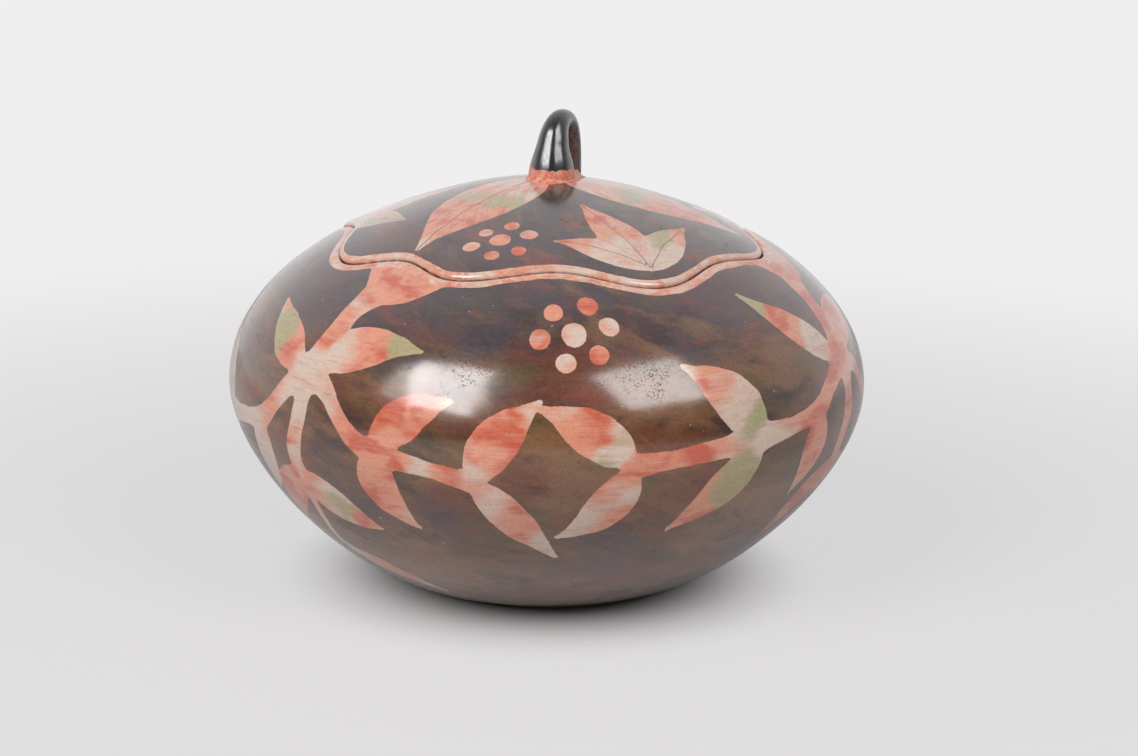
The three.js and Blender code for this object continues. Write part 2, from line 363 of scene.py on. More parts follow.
def smooth_through(stops, samples=14):
    stops = np.array(stops, float)
    padded = np.vstack([2 * stops[0] - stops[1], stops, 2 * stops[-1] - stops[-2]])
    t = np.linspace(0, 1, samples, endpoint=False)[:, None]
    spans = []
    for a, b, c, d in zip(padded, padded[1:], padded[2:], padded[3:]):
        square = (2 * a - 5 * b + 4 * c - d) * t**2
        cube = (3 * b - a - 3 * c + d) * t**3
        spans.append(0.5 * (2 * b + (c - a) * t + square + cube))
    return np.vstack(spans + [stops[-1:]])


# %% From a vertex to a brush stroke
def beside_stroke(path, half_widths, here, normals):
    nearest = np.full(len(here), 1e9)
    edge = np.full(len(here), 1e9)
    along = np.zeros(len(here))
    across = np.zeros(len(here))
    run = 0.0
    for k in range(len(path) - 1):
        a, step = path[k], path[k + 1] - path[k]
        length = np.linalg.norm(step)
        share = np.clip((here - a) @ step / length**2, 0, 1)
        offset = here - a - share[:, None] * step
        gap = np.linalg.norm(offset, axis=1)
        width = half_widths[k] + share * (half_widths[k + 1] - half_widths[k])
        edge = np.minimum(edge, gap - width)
        closer = gap < nearest
        side = np.sign(np.einsum("ij,ij->i", np.cross(step, offset), normals))
        nearest = np.where(closer, gap, nearest)
        along = np.where(closer, run + share * length, along)
        across = np.where(closer, gap * side, across)
        run += length
    return edge, along, across, run


def keep(piece, **fields):
    for name, values in fields.items():
        layer = piece.data.attributes.new(name, "FLOAT", "POINT")
        layer.data.foreach_set("value", np.asarray(values, np.float32))


# %% [markdown]
# A painting gathers all the shapes on one piece. Shapes that touch are joined with a soft minimum,
# which webs their corners as a loaded brush does. Each vertex also keeps where it is in its leaf,
# for the veins, and two leanings, towards cream and towards sage. They come from the washes of the
# shapes around it, weighted so that the nearest wins and the colours run into each other.

# %% A painting on one piece of clay
brush_reach = 14
bare_edge = 30.0
off_rib_gap = 9.0


class Painting:
    blend = 1.4

    def __init__(self, piece):
        count = len(piece.data.vertices)
        self.piece = piece
        self.places = self.read("co") / MM
        self.normals = self.read("normal")
        self.edge = np.full(count, bare_edge)
        self.along = np.zeros(count)
        self.across = np.full(count, off_rib_gap)
        self.leaf = np.zeros(count)
        self.tints = np.zeros((count, 2))
        self.weight = np.full(count, 1e-9)

    def read(self, name):
        values = np.empty(len(self.piece.data.vertices) * 3)
        self.piece.data.vertices.foreach_get(name, values)
        return values.reshape(-1, 3)

    def join(self, near, edge, along, across, tints, leaf, web):
        old = self.edge[near]
        inner = edge < old
        for field, value in (("along", along), ("across", across), ("leaf", leaf)):
            kept = getattr(self, field)
            kept[near] = np.where(inner, value, kept[near])
        weight = np.exp(-np.clip(edge, -12, 12) / self.blend)
        self.tints[near] += weight[:, None] * tints
        self.weight[near] += weight
        if web:
            share = np.clip(0.5 + 0.5 * (old - edge) / web, 0, 1)
            self.edge[near] = old * (1 - share) + edge * share - web * share * (1 - share)
        else:
            self.edge[near] = np.minimum(old, edge)

    def stroke(self, path, half_widths, washes, leaf=0.0, web=3.0):
        middle = path.mean(axis=0)
        reach = np.linalg.norm(path - middle, axis=1).max() + np.max(half_widths) + brush_reach
        near = np.flatnonzero(np.linalg.norm(self.places - middle, axis=1) < reach)
        edge, along, across, run = beside_stroke(
            path, half_widths, self.places[near], self.normals[near]
        )
        stops = np.linspace(0, run, len(washes))
        leanings = [np.interp(along, stops, lean) for lean in np.array(washes).T]
        self.join(near, edge, along, across, np.stack(leanings, axis=-1), leaf, web)

    def dot(self, centre, radius, tint, up, stretch):
        offset = self.places - centre
        lengthwise = offset @ (up / np.linalg.norm(up))
        squared = (offset**2).sum(axis=1) - (1 - stretch**-2) * lengthwise**2
        gap = np.sqrt(np.maximum(squared, 0))
        near = np.flatnonzero(gap < radius + brush_reach)
        self.join(near, gap[near] - radius, 0.0, off_rib_gap, np.array(tint), 0.0, 0)

    def band(self, distance, width, tint):
        near = np.flatnonzero(distance < width + brush_reach)
        self.join(near, distance[near] - width, 0.0, off_rib_gap, np.array(tint), 0.0, 2.0)

    def store(self, **more):
        cream_lean, sage_lean = (self.tints / self.weight[:, None]).T
        keep(
            self.piece,
            slip_edge=self.edge,
            leaf_along=self.along,
            leaf_across=self.across,
            leaf_share=self.leaf,
            cream_lean=cream_lean,
            sage_lean=sage_lean,
            **more,
        )


# %% The shape of a leaf
tip_radius = 0.9


def leaf_widths(half_width, count):
    t = np.linspace(0, 1, count)
    return tip_radius + (half_width - tip_radius) * np.sin(math.pi * t**0.72) ** 1.3


def leaf_path(surface, base, tip, bend, metric, count=26):
    base, tip = np.array(base, float), np.array(tip, float)
    lean = (tip - base) * metric
    sideways = np.array([-lean[1], lean[0]]) / np.linalg.norm(lean) / metric
    middle = (base + tip) / 2 + sideways * bend
    t = np.linspace(0, 1, count)[:, None]
    flat = (1 - t) ** 2 * base + 2 * t * (1 - t) * middle + t**2 * tip
    return surface(flat[:, 0], flat[:, 1])


# %% [markdown]
# ## The garland round the pot
# A leafy vine swags from the rim in equal bays, with a pair of leaves at each of its joints and a
# rosette of dots in each bay. Such vines are an old, common ornament of painted pots. One bay is
# laid out as azimuths from its own start and climbs in millimetres above the widest ring, and a
# loop repeats it round the pot. A hand never paints two bays alike, so each bay may lift its first
# leaf, sink its far half, and run paler or redder.

# %% Bays and washes
# start, end, lift of the first leaf, sink of the far half, paler at the start, paler at the end
bays = [
    (-50, 62.5, 0, 0, 0.0, 0.0),
    (62.5, 186, 13, 4, -0.2, 0.08),
    (186, 310, 5, 8, -0.08, 0.26),
]
# how far a wash leans towards cream and towards sage
creamy, rosy, fiery = (0.3, -0.2), (0.06, -0.2), (-0.22, -0.2)
leafy, misty, dewy = (0.0, 0.3), (0.22, 0.12), (0.32, 0.02)

# %% Stems and leaves from a bay's start
# a stem: (azimuth, climb, half width) at each stop, and its washes from end to end
left_stems = [
    (
        [(3.9, 21.5, 5.4), (9.7, 15.5, 3.5), (12.4, 9.5, 3.0), (17, 0.5, 3.8), (21, -2.6, 4.8)],
        (creamy, misty, fiery, fiery),
    ),
    (
        [(21, -2.6, 4.8), (30.7, -5.6, 3.1), (38, -9, 4.0)],
        (fiery, fiery, creamy, fiery, rosy),
    ),
    (
        [
            (14, 74, 19), (13, 66, 14.5), (10.9, 60, 9),
            (7.6, 48, 5), (6.4, 38, 4.4), (3.9, 21.5, 5.6),
        ],
        (rosy, fiery, rosy, fiery, creamy),
    ),
    (
        [(3.9, 21.5, 4.8), (4.1, 10, 3.9), (3.1, 0, 3.7), (1.6, -10, 3.7), (2, -19, 4.3)],
        (creamy, creamy, rosy, creamy),
    ),
    ([(1.5, -24, 2.4), (0.7, -37, 1.7), (-1.4, -54, 1.7), (0.2, -61, 2.6)], (rosy, creamy)),
]
# a leaf: base, tip, half width, bend, and its washes from base to tip
first_leaf_lie = ((2, 21.5), (-16.3, 43), 7.3, 2)
first_leaf_washes = [
    (creamy, fiery, leafy, leafy, rosy),
    (creamy, creamy, creamy, fiery, fiery, leafy, leafy),
    (creamy, fiery, leafy, leafy, rosy),
]
left_leaves = [
    ((5, 24), (26.8, 34.9), 8.5, 9, (creamy, creamy, rosy, fiery, leafy, leafy)),
    ((21, -1), (34.5, 18.8), 7.4, 8, (fiery, fiery, fiery, rosy)),
    ((20.5, 0), (26.9, -33), 7.8, -10, (rosy, fiery, rosy, creamy)),
    ((38, -8), (49.1, 20.3), 8.1, 5, (misty, rosy, rosy, fiery, fiery, rosy, creamy)),
    ((38, -8), (52.2, -44.3), 7.0, 0.2, (rosy, misty, rosy, fiery, creamy, creamy)),
    ((2, -18), (17.9, -37.9), 8.6, -4.5, (fiery, rosy, misty, misty, fiery, rosy)),
    ((1, -18), (-10.6, -48.5), 7.8, -5, (fiery, fiery, rosy)),
    ((0.2, -60), (21.7, -81.7), 5.8, 0, (rosy, fiery, creamy)),
]

# %% Stems and leaves towards a bay's end
right_stems = [
    (
        [(-48.3, -2.4, 4.6), (-39.7, -0.8, 3.2), (-24.2, 2.8, 5.0)],
        (fiery, fiery, fiery, misty, dewy),
    ),
    (
        [
            (-24.2, 2.8, 5.0), (-16.4, 3.8, 3.3), (-8.3, 6.9, 4.2),
            (-3.1, 13.8, 3.6), (3.9, 21.5, 5.4),
        ],
        (creamy, rosy, fiery, rosy),
    ),
]
right_leaves = [
    ((-48.3, -1), (-63.8, 18.1), 8.0, -4, (misty, misty, fiery, rosy, fiery)),
    ((-48.3, -3), (-60.5, -32.6), 8.0, 9, (fiery, rosy, rosy, creamy, rosy)),
    ((-24.2, 3), (-37.8, 30.7), 9.0, -6.5, (dewy, misty, creamy, rosy, fiery, creamy)),
    ((-24.2, 1), (-40.1, -31.6), 8.0, 3, (dewy, leafy, leafy, fiery, rosy)),
    ((-8.3, 6), (-12.3, -24.9), 7.2, 2.5, (fiery, rosy, misty)),
]

# %% Laying a leaf and a stem
millimetres_at_belly = 116
pot_metric = np.array([math.radians(1) * millimetres_at_belly, 1.0])


def lay_leaf(
    painting, surface, metric, leaf, turned, sunk=(0, 0), web=1.0, veined=0.0, count=30, paler=0
):
    base, tip, half_width, bend, washes = leaf
    base = np.add(base, (turned, -sunk[0]))
    tip = np.add(tip, (turned, -sunk[1]))
    path = leaf_path(surface, base, tip, bend, metric, count)
    washes = np.array(washes) + (paler, 0)
    painting.stroke(path, leaf_widths(half_width, count), washes, veined, web)


def lay_stem(painting, surface, stem, turned, sunk=0, paler=0):
    stops, washes = stem
    line = smooth_through(stops)
    joined = smoothstep(line[:, 0], -6, 4) if sunk else 1.0
    climb = line[:, 1] - sunk * (1 - joined)
    path = surface(line[:, 0] + turned, climb)
    painting.stroke(path, line[:, 2], np.array(washes) + (paler, 0))


# %% Rosettes of dots
petals = 6


def rosette(painting, surface, metric, middle, slips, turned, reach, dot, heart, tints, stretch):
    def dab(spot, radius, tint):
        centre = surface(*spot)
        painting.dot(centre, radius, tint, surface(spot[0], spot[1] + 1) - centre, stretch)

    dab(np.array(middle, float), heart, tints[0])
    for k in range(petals):
        turn = math.radians(turned + 360 / petals * k)
        outwards = np.array([math.cos(turn), math.sin(turn)])
        spot = middle + (reach * outwards + slips[k]) / metric
        dab(spot, dot * (1 + 0.05 * math.cos(2.4 * k + turned)), tints[1 + k])


pot_rosette = dict(
    turned=11,
    reach=12.2,
    dot=3.5,
    heart=4.3,
    stretch=1.14,
    tints=[(0.17, -0.2), (0.22, -0.2), fiery, fiery, rosy, (0.12, -0.2), fiery],
)
pot_slips = np.array([(2.5, 0.4), (2.9, 0.8), (0, 0), (-1, 0), (0.5, 0.2), (1.1, 0.8)])
rosette_climb = 45.3
rosette_share = 0.49

# %% Paint the garland
pot_painting = Painting(pot)
for number, (start, end, lifted, sunk, start_pale, end_pale) in enumerate(bays):
    for stem in left_stems:
        lay_stem(pot_painting, on_pot, stem, start, paler=start_pale)
    for stem in right_stems:
        lay_stem(pot_painting, on_pot, stem, end, sunk, end_pale)
    first_leaf = (*first_leaf_lie, first_leaf_washes[number])
    lay_leaf(pot_painting, on_pot, pot_metric, first_leaf, start, (0, -lifted))
    for leaf in left_leaves:
        lay_leaf(pot_painting, on_pot, pot_metric, leaf, start, paler=start_pale)
    for leaf in right_leaves:
        lay_leaf(pot_painting, on_pot, pot_metric, leaf, end, (sunk, sunk), paler=end_pale)
    middle = (start + rosette_share * (end - start), rosette_climb - sunk / 2)
    slips = np.roll(pot_slips, number, axis=0)
    rosette(pot_painting, on_pot, pot_metric, middle, slips, **pot_rosette)
print("garland laid in", len(bays), "bays")

# %% [markdown]
# ### Where the smoke settled
# Smoke firing leaves golden patches where the flame licked, and slate ones where soot lay. Noise
# alone would scatter them anywhere, so we set down soft round clouds at listed places, and let the
# noise only fray them. The same soft clouds mark the few places where the burnish is pitted.

# %% Clouds of warmth, soot and pits
# azimuth from the bay's start, climb, size in millimetres
warm_clouds = [(54, -8, 15), (22, -50, 18), (40, -3, 8), (92, -24, 11), (97, 33, 9)]
cool_clouds = [
    (34, 60, 17), (62, -46, 17), (32, -26, 12), (88, 12, 11), (6, 48, 14), (98, -52, 15),
    (-11, 52, 20), (-8, 2, 12), (11, -8, 12), (14, -28, 13),
]
pit_clouds = [(67, 29, 13), (38, 33, 7), (31, 34, 6), (8, -40, 10), (100, -8, 8)]


def clouding(clouds):
    total = np.zeros(len(pot_painting.edge))
    for start, *_ in bays:
        for azimuth, climb, size in clouds:
            gap = np.linalg.norm(pot_painting.places - on_pot(start + azimuth, climb), axis=1)
            total += np.exp(-((gap / size) ** 2))
    return np.minimum(total, 1)


smoke_warmth = clouding(warm_clouds) - clouding(cool_clouds)
pitting = clouding(pit_clouds)
print("sooty on", round(100 * float((smoke_warmth < -0.5).mean())), "% of the pot")

# %% [markdown]
# ### The pot's rim
# A narrow band of slip follows the wavy mouth. Its width is measured square to the edge, so the
# distance along the climb is divided by the edge's slope. Past the rim the clay was never rubbed:
# the cut face has little polish and the inside none.

# %% Rim band and polish of the pot
rim_band = 2.3
far_off = 60
seat_climb = 95
inside_climb = -160
seat_polish = 0.25


def edge_slope(lip):
    return np.gradient(lip[:, 0], np.radians(azimuths[1])) / lip[:, 0]


inside_start = (outside_rows + len(rim_rings)) * turn_steps
lip_end = (outside_rows + lip_rings - 1) * turn_steps
square_distance = rim_distance / np.sqrt(1 + edge_slope(pot_lip)[None, :] ** 2)
pot_rim_gap = np.zeros(len(pot_painting.edge))
pot_rim_gap[: square_distance.size] = square_distance.ravel()
pot_rim_gap[inside_start:] = far_off
pot_painting.band(pot_rim_gap, rim_band, rosy)

every_climb = np.full(len(pot_painting.edge), float(inside_climb))
every_climb[: pot_climb.size] = pot_climb.ravel()
every_climb[pot_climb.size : inside_start] = seat_climb
polish = np.ones(len(pot_painting.edge))
polish[lip_end:inside_start] = seat_polish
polish[inside_start:] = 0
pot_painting.store(
    climb=every_climb, polish=polish, rim_gap=pot_rim_gap, warmth=smoke_warmth, pitting=pitting
)
slip_share = float((pot_painting.edge[: pot_climb.size] < 0).mean())
print("slip covers", round(100 * slip_share), "% of the outside")

# %% [markdown]
# ## The painted lid
# Three broad veined leaves spread from the stem, with rosettes and three-leaved sprigs between
# them, and a slip-coated bead runs round the edge. The layout is again one third, turned twice.

# %% A third of the lid's painting
millimetres_on_lid = 50
lid_metric = np.array([math.radians(1) * millimetres_on_lid, 1.0])
big_leaf = ((-46, 6), (-40.2, 71.8), 16.4, 0.5, (rosy, rosy, leafy, fiery, fiery, creamy))
sprig = [
    ((28, 77), (2, 60), 7.5, 7, (creamy, creamy, fiery)),
    ((28, 77), (20, 34), 9.0, 3, (creamy, rosy, fiery)),
    ((28, 77), (56, 59), 8.0, -7, (creamy, misty, leafy)),
]
lid_rosette = dict(
    turned=33,
    reach=8.7,
    dot=2.9,
    heart=3.8,
    stretch=1.0,
    tints=[fiery, fiery, fiery, rosy, rosy, fiery, rosy],
)
lid_rosette_place = (-16.3, 61)
lid_slips = np.array([(-0.9, 0.8), (0.4, 0.6), (0.9, 1.6), (1.4, 0.8), (0.8, -1), (0.2, -0.6)])

lid_painting = Painting(lid)
for turned in (0, 120, 240):
    lay_leaf(lid_painting, on_lid, lid_metric, big_leaf, turned, web=0, veined=1.0, count=40)
    for leaf in sprig:
        lay_leaf(lid_painting, on_lid, lid_metric, leaf, turned, web=1.5, veined=0.7)
    middle = (lid_rosette_place[0] + turned, lid_rosette_place[1])
    rosette(lid_painting, on_lid, lid_metric, middle, lid_slips, **lid_rosette)

# %% The bead round the lid
lid_bead = 2.2
lid_warmth = -0.3
lid_climb_top = 150

crest = lid_top_start - bead_rings // 2
bead_start = lid_top_start - bead_rings
inward = np.linalg.norm(lid_grid[lid_top_start:] - lid_grid[crest], axis=-1)
inward /= np.sqrt(1 + edge_slope(lid_lip)[None, :] ** 2)
top_index = lid_top_start * turn_steps
underside_end = underside_rings * turn_steps
lid_distance = np.zeros(len(lid_painting.edge))
lid_distance[top_index : top_index + inward.size] = inward.ravel()
lid_distance[-1] = far_off
outward_side = np.linalg.norm(lid_grid[bead_start:crest] - lid_grid[crest], axis=-1)
lid_rim_gap = lid_distance.copy()
lid_rim_gap[bead_start * turn_steps : crest * turn_steps] = -outward_side.ravel()
lid_distance[:underside_end] = far_off
lid_painting.band(lid_distance, lid_bead, rosy)

lid_polish = np.ones(len(lid_painting.edge))
lid_polish[: underside_end + heel_rings * turn_steps] = 0
lid_climb = lid_climb_top - np.hypot(lid_painting.places[:, 0], lid_painting.places[:, 1])
unpitted = np.zeros(len(lid_polish))
lid_painting.store(
    climb=lid_climb, polish=lid_polish, rim_gap=lid_rim_gap, warmth=unpitted + lid_warmth,
    pitting=unpitted,
)
print("slip covers", round(100 * float((lid_painting.edge < 0).mean())), "% of the lid")

# %% [markdown]
# ## The stem loop and its collar
# The stem is a thick roll of clay, bent over like a gourd's stalk and drawn out thinner towards
# its end. We sweep a circle along the solid model's own centre line, with many more steps, and let
# it sink into the lid. The collar is luting clay pressed round both feet: a bank that falls from
# the legs to a thin edge. It runs under the legs, because fired clay shows no gap there.

# %% Sizes of the stem, and its centre line
loop_height = 24.2
leg_spacing = 18.5
loop_turn = 23.5
loop_right = 4.4
loop_back = 6.9
front_leg_radius = 6.6
rear_leg_radius = 3.9
front_flare = 2
front_spring = 13
rear_spring = 14
front_bend = 7.5
rear_bend = 6.5
collar_reach = 2.6
collar_fullness = 1.09
collar_front_height = 4.6
collar_rear_height = 1.3
collar_edge = 0.15
front_foot_radius = front_leg_radius + front_flare
crown_top = belly_height + crown_rise + lid_proud

stem_turn = math.radians(90 - loop_turn)
stem_place = np.array([loop_right, loop_back, crown_top])
turn_matrix = np.array(
    [
        [math.cos(stem_turn), -math.sin(stem_turn), 0],
        [math.sin(stem_turn), math.cos(stem_turn), 0],
        [0, 0, 1],
    ]
)


def to_lid(points):
    return points @ turn_matrix.T + stem_place


def ground_at(x, y):
    spot = to_lid(np.stack([x, y, np.zeros_like(x)], axis=-1))
    azimuth = np.degrees(np.arctan2(spot[..., 0], -spot[..., 1]))
    return lid_top(np.hypot(spot[..., 0], spot[..., 1]), azimuth) - crown_top


def bend_curve(corners, t):
    a, b, c, d = (np.array(corner, float) for corner in corners)
    t = t[:, None]
    return (1 - t) ** 3 * a + 3 * t * (1 - t) ** 2 * b + 3 * t**2 * (1 - t) * c + t**3 * d


half = leg_spacing / 2
rise = loop_height - rear_leg_radius
front_corners = [(-half, 0), (-half, front_spring), (-front_bend, rise), (0, rise)]
rear_corners = [(0, rise), (rear_bend, rise), (half, rear_spring), (half, 0)]
fine = np.linspace(0, 1, 300)
loop_line = np.vstack([bend_curve(front_corners, fine), bend_curve(rear_corners, fine)[1:]])

# %% The stem loop
loop_stations = 110
loop_sides = 72
shares = np.linspace(0, 1, loop_stations)
loop_runs = run_along(loop_line)
centres = at_run(loop_line, shares * loop_runs[-1])
tangents = np.gradient(centres, axis=0)
tangents /= np.linalg.norm(tangents, axis=1, keepdims=True)
thickness = front_leg_radius + (rear_leg_radius - front_leg_radius) * smoothstep(shares, 0.1, 0.55)
thickness = thickness + front_flare * (1 - smoothstep(shares, 0, 0.25))

turns = np.arange(loop_sides) * 2 * math.pi / loop_sides
rubbed_flat = 1 - smoothstep(shares, 0.25, 0.55)
facets = 1 - 0.011 * np.cos(8 * turns)[None, :] * rubbed_flat[:, None]
radii = thickness[:, None] * facets
outward = radii * np.cos(turns)[None, :]
x = centres[:, :1] - tangents[:, 1:] * outward
y = radii * np.sin(turns)[None, :]
z = centres[:, 1:] + tangents[:, :1] * outward
sink = 1.2
z[0] = ground_at(x[0], y[0]) - sink
z[-1] = ground_at(x[-1], y[-1]) - sink
stem_local = np.stack([x, y, z], axis=-1)
foot_lift = z - ground_at(x, y)
facing_in = -np.cos(turns)[None, :] * np.ones_like(x)
coat_top = (4.2 - 3.2 * smoothstep(shares, 0.4, 0.6))[:, None] * np.ones_like(x)
stem_poles = []
for side in (-1, 1):
    lift = ground_at(np.array(side * half), np.array(0.0))
    stem_poles.append(to_lid(np.array([side * half, 0, -sink])) + np.array([0, 0, lift]))
stem = skin("stem_loop", to_lid(stem_local)[:, ::-1], stem_poles)


def with_poles(values):
    return np.append(values[:, ::-1].ravel(), [0, 0])


keep(stem, foot_lift=with_poles(foot_lift - coat_top), facing_in=with_poles(facing_in))
print("stem_loop", len(stem.data.polygons), "faces, tube run", round(float(loop_runs[-1]), 1), "mm")

# %% The collar
collar_half_length = (leg_spacing + front_foot_radius + rear_leg_radius) / 2 + collar_reach
collar_front_width = collar_fullness * (front_foot_radius + collar_reach)
collar_rear_width = rear_leg_radius + collar_reach
collar_shift = (front_foot_radius - rear_leg_radius) / 2
collar_sides = 144
turns = np.arange(collar_sides) * 2 * math.pi / collar_sides
behind = np.cos(turns)
half_width = collar_front_width + (collar_rear_width - collar_front_width) * (1 + behind) / 2


def collar_ring(share, lift):
    ragged = 1 + 0.02 * np.sin(7 * turns + 2) + 0.015 * np.sin(13 * turns)
    x = share * ragged * collar_half_length * behind - collar_shift
    y = share * ragged * half_width * np.sin(turns)
    return np.stack([x, y, ground_at(x, y) + lift], axis=-1)


def bank(share):
    lengthwise = (1 + share * behind) / 2
    height = collar_front_height + (collar_rear_height - collar_front_height) * lengthwise
    pinches = 1 + 0.08 * np.sin(9 * turns) + 0.06 * np.sin(17 * turns + 1)
    fall = np.clip((skirt - share) / (skirt - leg_share), 0, 1)
    return collar_edge + (height * pinches - collar_edge) * fall**1.9


skirt = 1.0
leg_share = 0.72
collar_rows = [collar_ring(share, -0.5) for share in np.linspace(0.1, skirt - 0.03, 8)]
collar_rows += [collar_ring(share, bank(share)) for share in np.linspace(skirt, 0.05, 44)]
collar_grid = to_lid(np.array(collar_rows))
middle = ground_at(np.array(-collar_shift), np.array(0.0))
collar_poles = [
    to_lid(np.array([-collar_shift, 0, middle - 0.5])),
    to_lid(np.array([-collar_shift, 0, middle + float(bank(0.0).mean())])),
]
collar = skin("luted_collar", collar_grid, collar_poles)
print("luted_collar", len(collar.data.polygons), "faces")

# %% [markdown]
# ## Finishes
# Every finish is grown from noise. Three slips (coral, pinkish cream and sage green) were brushed
# wet into wet, so their borders are soft and streaked along the burnishing strokes, which run round
# the pot. The bare ground took up smoke: nearly black, clouded with brown, olive and rust. A small
# helper class keeps the node trees short to write, and reads like the maker's own moves: to brush
# a colour over another where a pattern is high, or to shade it where a pattern is low.


# %% A short hand for shader nodes
def srgb(red, green, blue):
    def linear(value):
        share = value / 255
        return share / 12.92 if share <= 0.04045 else ((share + 0.055) / 1.055) ** 2.4

    return (linear(red), linear(green), linear(blue), 1)


class Nodes:
    def __init__(self, tree):
        self.tree = tree

    def new(self, kind, **settings):
        node = self.tree.nodes.new("ShaderNode" + kind)
        for name, value in settings.items():
            setattr(node, name, value)
        return node

    def join(self, value, socket):
        if isinstance(value, bpy.types.NodeSocket):
            self.tree.links.new(value, socket)
        else:
            socket.default_value = value

    def feed(self, node, **values):
        for name, value in values.items():
            self.join(value, node.inputs[name.replace("_", " ")])

    def attribute(self, name):
        return self.new("Attribute", attribute_name=name).outputs["Fac"]

    def coordinates(self, kind="Object"):
        return self.new("TexCoord").outputs[kind]

    def parts(self, vector):
        node = self.new("SeparateXYZ")
        self.join(vector, node.inputs[0])
        return list(node.outputs)

    def vector(self, x, y, z):
        node = self.new("CombineXYZ")
        self.feed(node, X=x, Y=y, Z=z)
        return node.outputs[0]

    def maths(self, operation, a, b=0.0):
        node = self.new("Math", operation=operation)
        for value, socket in zip((a, b), node.inputs):
            self.join(value, socket)
        return node.outputs[0]

    def plus(self, a, b):
        return self.maths("ADD", a, b)

    def times(self, a, b):
        return self.maths("MULTIPLY", a, b)

    def opposite(self, share):
        return self.maths("SUBTRACT", 1.0, share)

    def swing(self, pattern, amount):
        return self.times(self.plus(pattern, -0.5), amount)

    def step(self, value, low, high, start=0.0, end=1.0):
        node = self.new("MapRange", interpolation_type="SMOOTHSTEP")
        self.feed(node, Value=value, From_Min=low, From_Max=high, To_Min=start, To_Max=end)
        return node.outputs[0]

    def mix(self, share, a, b, kind="Color", blend="MIX"):
        node = self.new("Mix", data_type={"Color": "RGBA", "Float": "FLOAT"}[kind])
        node.blend_type = blend
        sockets = {socket.identifier: socket for socket in node.inputs}
        for name, value in (("Factor_Float", share), ("A_" + kind, a), ("B_" + kind, b)):
            self.join(value, sockets[name])
        return next(s for s in node.outputs if s.identifier == "Result_" + kind)

    def brush(self, base, colour, pattern, low, high, most=1.0):
        share = self.step(pattern, low, high)
        return self.mix(self.times(share, most) if most < 1 else share, base, colour)

    def shade(self, base, pattern, low, high, level):
        darker = self.mix(1.0, base, (level, level, level, 1), blend="MULTIPLY")
        return self.mix(self.step(pattern, low, high), darker, base)

    def stretched(self, vector, scale):
        node = self.new("Mapping", vector_type="POINT")
        scale = scale if isinstance(scale, tuple) else (scale, scale, scale)
        self.feed(node, Vector=vector, Scale=scale)
        return node.outputs[0]

    def noise(self, vector, scale, seed, detail=3.0, rough=0.5, swirl=0.0):
        node = self.new("TexNoise", noise_dimensions="4D")
        self.feed(node, Vector=self.stretched(vector, scale), W=seed, Scale=1)
        self.feed(node, Detail=detail, Roughness=rough, Distortion=swirl)
        return node.outputs["Fac"]

    def bump(self, height, distance, strength=1.0, normal=None):
        node = self.new("Bump")
        self.feed(node, Height=height, Distance=distance, Strength=strength)
        if normal is not None:
            self.feed(node, Normal=normal)
        return node.outputs[0]


class Finish(Nodes):
    def __init__(self, name):
        self.material = bpy.data.materials.new(name)
        self.material.use_nodes = True
        super().__init__(self.material.node_tree)
        self.tree.nodes.clear()
        output = self.new("OutputMaterial")
        self.surface = self.new("BsdfPrincipled")
        self.join(self.surface.outputs[0], output.inputs["Surface"])
        self.millimetres = self.stretched(self.coordinates(), 1 / MM)

    def set(self, **values):
        self.feed(self.surface, **values)


# %% The slips, the smoke and the stains
coral = srgb(180, 80, 56)
peach = srgb(198, 130, 104)
cream = srgb(192, 172, 158)
sage = srgb(142, 142, 100)
smoke_plum = srgb(86, 48, 50)
smoke_slate = srgb(64, 54, 58)
smoke_brown = srgb(102, 56, 34)
smoke_gold = srgb(118, 82, 54)
smoke_olive = srgb(82, 70, 40)
smoke_rust = srgb(120, 56, 42)
smoke_black = srgb(54, 38, 36)
bare_clay = srgb(140, 92, 70)
slip_shadow = srgb(146, 92, 78)
bead_edge_brown = srgb(112, 66, 46)
vein_brown = srgb(96, 66, 58)
print("coral as light", [round(share, 2) for share in coral[:3]])

# %% [markdown]
# ### Marbled slip
# The stroke coordinate unrolls the surface: two parts follow the azimuth and the third the climb in
# millimetres, so noise can be drawn out along the strokes. Broad patches decide between coral,
# peach, cream and sage, and each shape's two leanings tip them. Thin streaks, smoke and a fine
# grain lie over them.


# %% Strokes and marbled slip
def stroke_vector(finish):
    x, y, _ = finish.parts(finish.coordinates())
    angle = finish.maths("ARCTAN2", x, y)
    east = finish.times(finish.maths("SINE", angle), belly_radius)
    north = finish.times(finish.maths("COSINE", angle), belly_radius)
    return finish.vector(east, north, finish.attribute("climb"))


